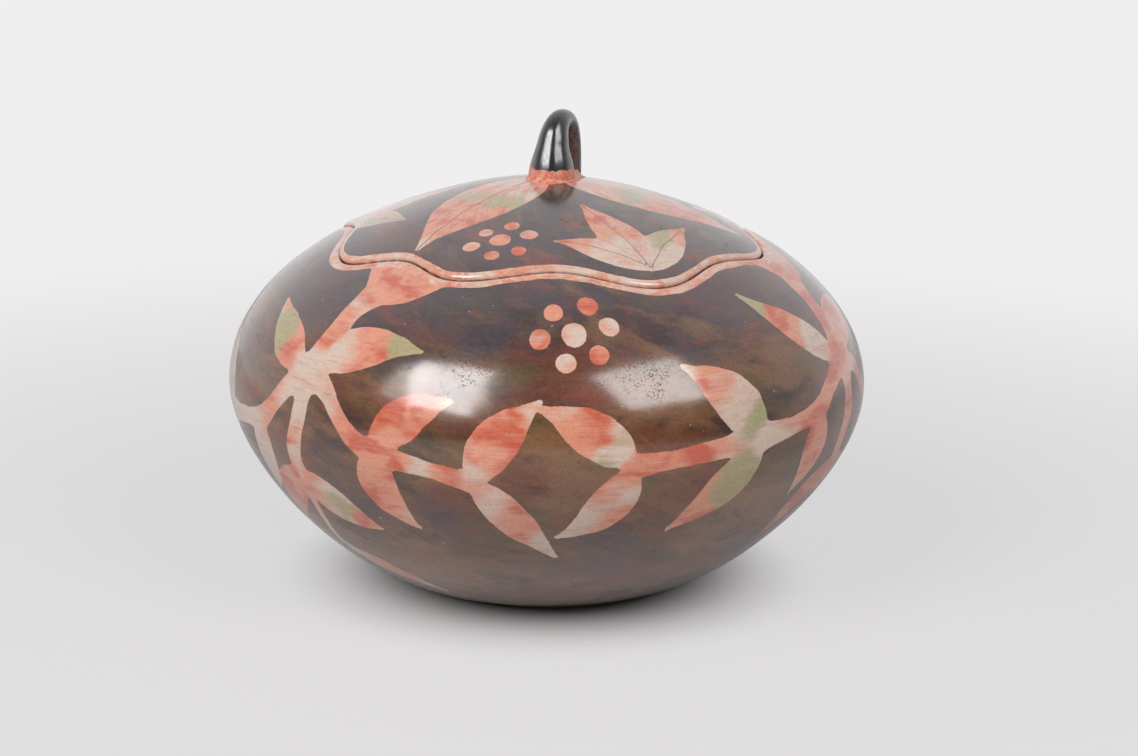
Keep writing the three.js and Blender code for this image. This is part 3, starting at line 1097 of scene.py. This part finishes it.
def marbled(finish, strokes):
    cream_lean = finish.attribute("cream_lean")
    sage_lean = finish.attribute("sage_lean")
    patch = (0.05, 0.05, 0.09)
    drawn = finish.swing(finish.noise(strokes, (0.05, 0.05, 0.7), 3.1, 3, 0.6), 0.2)
    to_cream = finish.plus(finish.noise(strokes, patch, 7.7, 1, 0.5, 0.4), drawn)
    to_cream = finish.plus(to_cream, cream_lean)
    to_sage = finish.plus(finish.noise(strokes, patch, 12.4, 1, 0.5, 0.4), drawn)
    to_sage = finish.plus(to_sage, sage_lean)
    to_peach = finish.plus(finish.noise(strokes, (0.07, 0.07, 0.12), 21.9, 2, 0.5, 0.6), drawn)
    to_peach = finish.plus(to_peach, finish.times(cream_lean, 0.3))
    colour = finish.brush(coral, peach, to_peach, 0.3, 0.54)
    colour = finish.brush(colour, cream, to_cream, 0.45, 0.78, 0.92)
    colour = finish.brush(colour, sage, to_sage, 0.55, 0.75, 0.85)
    lines = finish.noise(strokes, (0.06, 0.06, 2.4), 5.5, 3, 0.7)
    colour = finish.brush(colour, cream, lines, 0.5, 0.72, 0.32)
    smoke = finish.noise(strokes, (0.09, 0.09, 0.9), 26.1, 4, 0.65)
    colour = finish.brush(colour, slip_shadow, smoke, 0.5, 0.72, 0.35)
    grain = finish.noise(finish.millimetres, 1.1, 28.4, 3, 0.7)
    return finish.shade(colour, grain, 0.3, 0.62, 0.84)


# %% [markdown]
# ### Smoked ground
# The lower half is warm brown and gold, the shoulder plum and slate, and the border between them
# wanders. Veils of olive, rust and black drift over both. Brushed streaks that rise slightly to
# the right turn golden in the warm clouds and sooty in the cool ones.


# %% Smoked ground
def smoked(finish, strokes):
    climb = finish.attribute("climb")
    clouds = finish.noise(strokes, (0.022, 0.022, 0.036), 1.3, 3, 0.55, 0.5)
    warm = finish.brush(smoke_brown, smoke_gold, clouds, 0.4, 0.6)
    dark = finish.brush(smoke_plum, smoke_slate, clouds, 0.4, 0.6)
    border = finish.plus(finish.step(climb, 8, 62), finish.swing(clouds, 1.2))
    ground = finish.brush(warm, dark, border, 0.2, 0.8)
    for colour, seed, low, high, most in (
        (smoke_olive, 4.4, 0.49, 0.62, 0.75),
        (smoke_rust, 8.1, 0.52, 0.64, 0.7),
        (smoke_black, 15.2, 0.5, 0.64, 0.8),
    ):
        veil = finish.noise(strokes, (0.034, 0.034, 0.07), seed, 5, 0.62, 0.5)
        ground = finish.brush(ground, colour, veil, low, high, most)
    streaks = finish.noise(strokes, (0.05, 0.05, 0.4), 9.6, 5, 0.68, 0.4)
    ground = finish.shade(ground, streaks, 0.34, 0.6, 0.74)
    east, north, _ = finish.parts(strokes)
    slanted = finish.vector(east, north, finish.plus(climb, finish.times(east, 0.6)))
    brushed = finish.noise(slanted, (0.03, 0.03, 0.09), 44.4, 4, 0.6, 0.8)
    brushed = finish.plus(brushed, finish.times(finish.attribute("warmth"), 0.22))
    ground = finish.brush(ground, smoke_gold, brushed, 0.48, 0.72, 0.7)
    ground = finish.brush(ground, smoke_slate, brushed, 0.48, 0.24, 0.6)
    grain = finish.noise(finish.millimetres, (0.9, 0.9, 1.2), 28.4, 3, 0.75)
    return finish.shade(ground, grain, 0.32, 0.6, 0.68)


# %% [markdown]
# ### Edges, veins, wear and a painted highlight
# The slip's outline wavers a little, as a cut or brushed edge does. Veins were scratched through
# the slip: a rib along the middle and side veins that leave it at a slant, at even steps along the
# leaf. Hands have scuffed the rim to pale clay, and the same pale patches paint the highlight
# along the bead's top. The bead's lower rounding by the gap turns brown in patches, and pale nicks
# and clumps of small pits are scattered over the burnish.


# %% Edges, veins, wear and a painted highlight
def painted_share(finish):
    ragged = finish.noise(finish.millimetres, 0.7, 6.6, 2)
    unsteady = finish.noise(finish.millimetres, 0.13, 16.8, 1)
    edge = finish.plus(finish.attribute("slip_edge"), finish.swing(ragged, 0.5))
    return finish.step(finish.plus(edge, finish.swing(unsteady, 1.6)), 0.14, -0.14)


def veins(finish):
    wander = finish.noise(finish.millimetres, 0.12, 2.2, 1)
    across = finish.plus(finish.attribute("leaf_across"), finish.swing(wander, 1.6))
    off_rib = finish.maths("ABSOLUTE", across)
    rib = finish.step(off_rib, 0.34, 0.16)
    slant = finish.plus(finish.attribute("leaf_along"), finish.times(off_rib, -1.5))
    slant = finish.plus(slant, finish.times(wander, 5))
    rank = finish.plus(finish.maths("FRACT", finish.times(slant, 0.13)), -0.5)
    side = finish.step(finish.maths("ABSOLUTE", rank), 0.03, 0.012)
    side = finish.times(finish.times(side, finish.step(off_rib, 13.5, 11)), 0.55)
    return finish.times(finish.maths("MAXIMUM", rib, side), finish.attribute("leaf_share"))


def add_wear_and_highlight(finish, colour, painted):
    rim = finish.attribute("rim_gap")
    rim_patches = finish.noise(finish.millimetres, (0.22, 0.22, 0.4), 36.6, 6, 0.72)
    # pale cream patches near the rim: partly scuffed wear, partly a painted highlight along the
    # bead's top
    pale_scuff_highlight_mask = finish.times(finish.step(rim_patches, 0.46, 0.6), finish.step(rim, 3.4, 2.0))
    colour = finish.mix(finish.times(finish.times(pale_scuff_highlight_mask, painted), 0.8), colour, cream)
    # the bead's lower rounding, next to the gap, turns brown in patches
    browned_edge = finish.times(finish.step(rim_patches, 0.64, 0.46), finish.step(rim, -0.4, -1.5))
    colour = finish.mix(finish.times(browned_edge, 0.85), colour, bead_edge_brown)
    nicks = finish.noise(finish.millimetres, 0.5, 17.3, 1, 0.4)
    return finish.brush(colour, cream, nicks, 0.775, 0.8, 0.5)


def pitted_share(finish):
    pits = finish.noise(finish.millimetres, (1.5, 1.5, 1.8), 30.5, 2, 0.6)
    clumps = finish.noise(finish.millimetres, (0.12, 0.12, 0.16), 40.2, 3, 0.6)
    clumps = finish.plus(clumps, finish.times(finish.attribute("pitting"), 0.26))
    return finish.times(finish.step(pits, 0.52, 0.64), finish.step(clumps, 0.52, 0.74))


# %% [markdown]
# ### Burnished clay
# One recipe serves pot and lid. The painted share chooses between ground and slip, and raw clay
# shows where there is no polish. The gloss is a wax coat over clay that is itself half dull; the
# pits interrupt it. The relief is fine: striations of the pebble, a faint peel, and the pits.


# %% The burnished finish
def burnished_clay(name):
    finish = Finish(name)
    strokes = stroke_vector(finish)
    painted = painted_share(finish)
    slip = finish.mix(veins(finish), marbled(finish, strokes), vein_brown)
    colour = finish.mix(painted, smoked(finish, strokes), slip)
    colour = add_wear_and_highlight(finish, colour, painted)
    raw = finish.noise(finish.millimetres, (0.05, 0.05, 0.2), 19.1, 4, 0.6)
    raw_clay = finish.brush(bare_clay, smoke_brown, raw, 0.35, 0.7)
    polish = finish.attribute("polish")
    dull = finish.opposite(polish)
    pitted = pitted_share(finish)
    finish.set(Base_Color=finish.mix(polish, raw_clay, colour), IOR=1.3)

    smears = finish.noise(strokes, (0.03, 0.03, 0.4), 33.3, 3, 0.6)
    rough = finish.plus(0.24, finish.times(smears, 0.2))
    rough = finish.plus(rough, finish.times(pitted, 0.25))
    finish.set(Roughness=finish.plus(rough, finish.times(dull, 0.45)))
    waxed = finish.times(polish, finish.plus(1.0, finish.times(pitted, -0.85)))
    finish.set(Coat_Weight=waxed, Coat_Roughness=0.15, Coat_IOR=1.62)

    fine = finish.noise(strokes, (0.06, 0.06, 1.8), 11.8, 3, 0.6)
    peel = finish.noise(finish.millimetres, 0.75, 51.5, 2, 0.6)
    relief = finish.bump(fine, 0.05 * MM, 0.6)
    relief = finish.bump(peel, 0.05 * MM, 0.5, relief)
    relief = finish.bump(finish.times(pitted, -1.0), 0.06 * MM, 0.8, relief)
    finish.set(Normal=finish.bump(finish.times(raw, dull), 0.8 * MM, 0.8, relief))
    return finish.material


burnished = burnished_clay("burnished_slip")
pot.data.materials.append(burnished)
lid.data.materials.append(burnished)
print("burnished finish", len(burnished.node_tree.nodes), "nodes")

# %% [markdown]
# ### The black stem and the coral collar
# The stem was smoked to black and rubbed until it shines. Its inner side, where no pebble reaches,
# stays brownish and dull, and coral slip laps up its feet to a ragged line. The collar is the same
# coral, paler where the luting was wiped.

# %% Stem and collar finishes
stem_black, stem_grey = srgb(28, 27, 31), srgb(46, 43, 46)
inner_dark, inner_pale = srgb(64, 46, 40), srgb(112, 88, 82)
collar_coral, collar_peach = srgb(188, 92, 72), srgb(196, 132, 110)
collar_fleck = srgb(206, 178, 160)


def coral_slip(finish):
    patches = finish.noise(finish.millimetres, 0.35, 2.9, 3, 0.6)
    warm = finish.brush(collar_coral, collar_peach, patches, 0.4, 0.62)
    flecks = finish.noise(finish.millimetres, (1.1, 1.1, 1.6), 13.7, 2, 0.6)
    return finish.brush(warm, collar_fleck, flecks, 0.5, 0.68, 0.55)


def stem_finish():
    finish = Finish("black_slip")
    cloud = finish.noise(finish.millimetres, (0.2, 0.2, 0.06), 1.9, 3, 0.6)
    black = finish.brush(stem_black, stem_grey, cloud, 0.35, 0.7)
    inner = finish.step(finish.attribute("facing_in"), 0.05, 0.5)
    dull = finish.noise(finish.millimetres, 0.9, 5.2, 4, 0.7)
    brown = finish.brush(inner_dark, inner_pale, dull, 0.35, 0.65)
    black = finish.mix(finish.times(inner, 0.9), black, brown)
    ragged = finish.noise(finish.millimetres, (0.45, 0.45, 0.3), 8.8, 3, 0.6)
    line = finish.plus(finish.attribute("foot_lift"), finish.swing(ragged, 2.6))
    coated = finish.step(line, 0.2, -0.2)
    finish.set(Base_Color=finish.mix(coated, black, coral_slip(finish)), IOR=1.55)

    streaks = finish.noise(finish.millimetres, (0.9, 0.9, 0.08), 24.2, 3, 0.6)
    rough = finish.plus(0.14, finish.times(streaks, 0.2))
    rough = finish.plus(rough, finish.times(inner, 0.3))
    finish.set(Roughness=finish.plus(rough, finish.times(coated, 0.14)))
    finish.set(Normal=finish.bump(streaks, 0.08 * MM, 0.7))
    shine = finish.plus(0.9, finish.times(finish.maths("MAXIMUM", inner, coated), -0.7))
    rubbed_off = finish.noise(finish.millimetres, (0.8, 0.8, 0.25), 31.5, 4, 0.7)
    shine = finish.plus(shine, finish.times(finish.step(rubbed_off, 0.45, 0.7), -0.6))
    finish.set(Coat_Weight=shine, Coat_Roughness=0.15, Coat_IOR=1.5)
    return finish.material


def collar_finish():
    finish = Finish("coral_slip")
    grain = finish.noise(finish.millimetres, 0.8, 4.1, 4, 0.6)
    finish.set(Base_Color=coral_slip(finish), IOR=1.5)
    finish.set(Roughness=finish.plus(0.3, finish.times(grain, 0.25)))
    finish.set(Normal=finish.bump(grain, 0.2 * MM, 0.7))
    return finish.material


stem.data.materials.append(stem_finish())
collar.data.materials.append(collar_finish())
print("stem finish", len(stem.data.materials[0].node_tree.nodes), "nodes")

# %% [markdown]
# ## The studio
# The picture was taken on pale paper that fades into a bright backdrop. The paper could be a big
# curved sheet. Here it is a flat disc that turns transparent with distance, so that the world's
# even brightness takes over, and the jar's shadow stays on the paper close to its foot. The camera
# sees the paper fade much sooner than the light does, so only the shadow close under it stays dark.

# %% The paper
floor_radius = 6.0
floor_corners = 96
floor_drop = 0.1 * MM
floor_turns = np.arange(floor_corners) * 2 * math.pi / floor_corners
floor_edge = [(floor_radius * math.cos(a), floor_radius * math.sin(a), 0) for a in floor_turns]
floor_mesh = bpy.data.meshes.new("pale_floor")
floor_mesh.from_pydata(floor_edge, [], [list(range(floor_corners))])
floor = bpy.data.objects.new("pale_floor", floor_mesh)
bpy.context.scene.collection.objects.link(floor)
floor.location.z = -floor_drop

paper = Finish("pale_paper")
paper_cloud = paper.noise(paper.coordinates(), 1.0, 3.3, 3, 0.5)
lit_paper = paper.mix(paper_cloud, (0.54, 0.52, 0.525, 1), (0.58, 0.56, 0.565, 1))
seen_paper = paper.mix(paper_cloud, (0.375, 0.362, 0.365, 1), (0.40, 0.387, 0.39, 1))
by_camera = paper.new("LightPath").outputs["Is Camera Ray"]
paper.set(Base_Color=paper.mix(by_camera, lit_paper, seen_paper), Roughness=0.8)
measured = paper.new("VectorMath", operation="LENGTH")
paper.join(paper.coordinates(), measured.inputs[0])
from_foot = measured.outputs["Value"]
far_fade = paper.times(paper.step(from_foot, 0.7, 0.2), 0.3)
near_fade = paper.times(paper.step(from_foot, 0.108, 0.048), 0.7)
seen_fade = paper.times(paper.plus(far_fade, near_fade), by_camera)
lit_fade = paper.times(paper.step(from_foot, 1.4, 0.6), paper.opposite(by_camera))
paper.set(Alpha=paper.plus(seen_fade, lit_fade))
floor_mesh.materials.append(paper.material)
print("paper", 2 * floor_radius, "m across")

# %% [markdown]
# The world is the backdrop. The camera, and rays that pass through glass, see it at its full
# level, while as a lamp it gives only a soft fill. In a mirror of the gloss it is bright behind the
# jar and dim on the camera's side, as a real room is.

# %% The world
world_level = 0.22
backdrop_level = 0.87
room_level = 0.12

world = bpy.data.worlds.new("studio")
bpy.context.scene.world = world
world.use_nodes = True
sky = Nodes(world.node_tree)
background = world.node_tree.nodes["Background"]
rays = sky.new("LightPath").outputs
_, towards_back, _ = sky.parts(sky.coordinates("Generated"))
sweep = sky.step(towards_back, -0.5, 0.5, room_level, backdrop_level)
mirrored = sky.mix(rays["Is Glossy Ray"], world_level, sweep, "Float")
straight = sky.maths("MAXIMUM", rays["Is Camera Ray"], rays["Is Transmission Ray"])
level = sky.mix(straight, mirrored, backdrop_level, "Float")
sky.feed(background, Color=(1.0, 0.985, 0.99, 1), Strength=level)
print("backdrop level", backdrop_level, "and fill", world_level)

# %% [markdown]
# Two softboxes stand one to each side, at the height of half past ten and half past one, and show
# as two soft windows in the gloss. A narrow, weak third lamp beside the left one gives its window
# a pale fringe.


# %% The lamps
def softbox(name, azimuth, elevation, distance, width, height, power, roll):
    lamp = bpy.data.lights.new(name, "AREA")
    lamp.shape = "RECTANGLE"
    lamp.size = width
    lamp.size_y = height
    lamp.energy = power
    holder = bpy.data.objects.new(name, lamp)
    bpy.context.scene.collection.objects.link(holder)
    turn, lift = math.radians(azimuth), math.radians(elevation)
    aim = Vector((0, 0, belly_height * MM))
    sideways, forwards = math.sin(turn) * math.cos(lift), math.cos(turn) * math.cos(lift)
    away = Vector((sideways, -forwards, math.sin(lift)))
    holder.location = aim + away * distance
    aimed = away.to_track_quat("Z", "Y").to_matrix()
    holder.rotation_euler = (aimed @ Matrix.Rotation(math.radians(roll), 3, "Z")).to_euler()


# name, azimuth, elevation, distance, width, height, watts, roll
softbox("left_softbox", -40, 36, 2.2, 0.94, 1.32, 42, 5)
softbox("left_glow", -57, 34, 2.2, 0.42, 0.95, 4, 5)
softbox("right_softbox", 44.6, 40, 2.2, 1.05, 1.15, 26.5, 4)
print("lamps", [lamp.name for lamp in bpy.data.lights])

# %% [markdown]
# The camera looks down a little, and is a shade out of level.

# %% The camera
camera_distance = 0.93
camera_elevation = math.radians(14)
camera_roll = math.radians(0.85)
focal_pixels = 2433
picture_width, picture_height = 1138, 756
aim_pixel = (546.7, 375.0)

lens = bpy.data.cameras.new("camera")
lens.sensor_width = 36
lens.lens = focal_pixels / picture_width * lens.sensor_width
lens.shift_x = (picture_width / 2 - aim_pixel[0]) / picture_width
lens.shift_y = (aim_pixel[1] - picture_height / 2) / picture_width
camera = bpy.data.objects.new("camera", lens)
bpy.context.scene.collection.objects.link(camera)
offset = Vector((0, -math.cos(camera_elevation), math.sin(camera_elevation))) * camera_distance
camera.location = Vector((0, 0, belly_height * MM)) + offset
level = offset.to_track_quat("Z", "Y")
camera.rotation_euler = (level.to_matrix() @ Matrix.Rotation(camera_roll, 3, "Z")).to_euler()
bpy.context.scene.camera = camera
bpy.context.scene.view_settings.view_transform = "Standard"

# %% [markdown]
# ## Handing the pieces over
# Each fine piece rides on its body and hides the plain node that it stands for.

# %% Ride and replace
for piece, node, body, slot in (
    (pot, "jar_body", "jar", "burnished_slip"),
    (lid, "lid_shell", "lid", "burnished_slip"),
    (stem, "stem_handle", "lid", "black_slip"),
    (collar, "stem_collar", "lid", "coral_slip"),
):
    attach(piece, body)
    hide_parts(node)
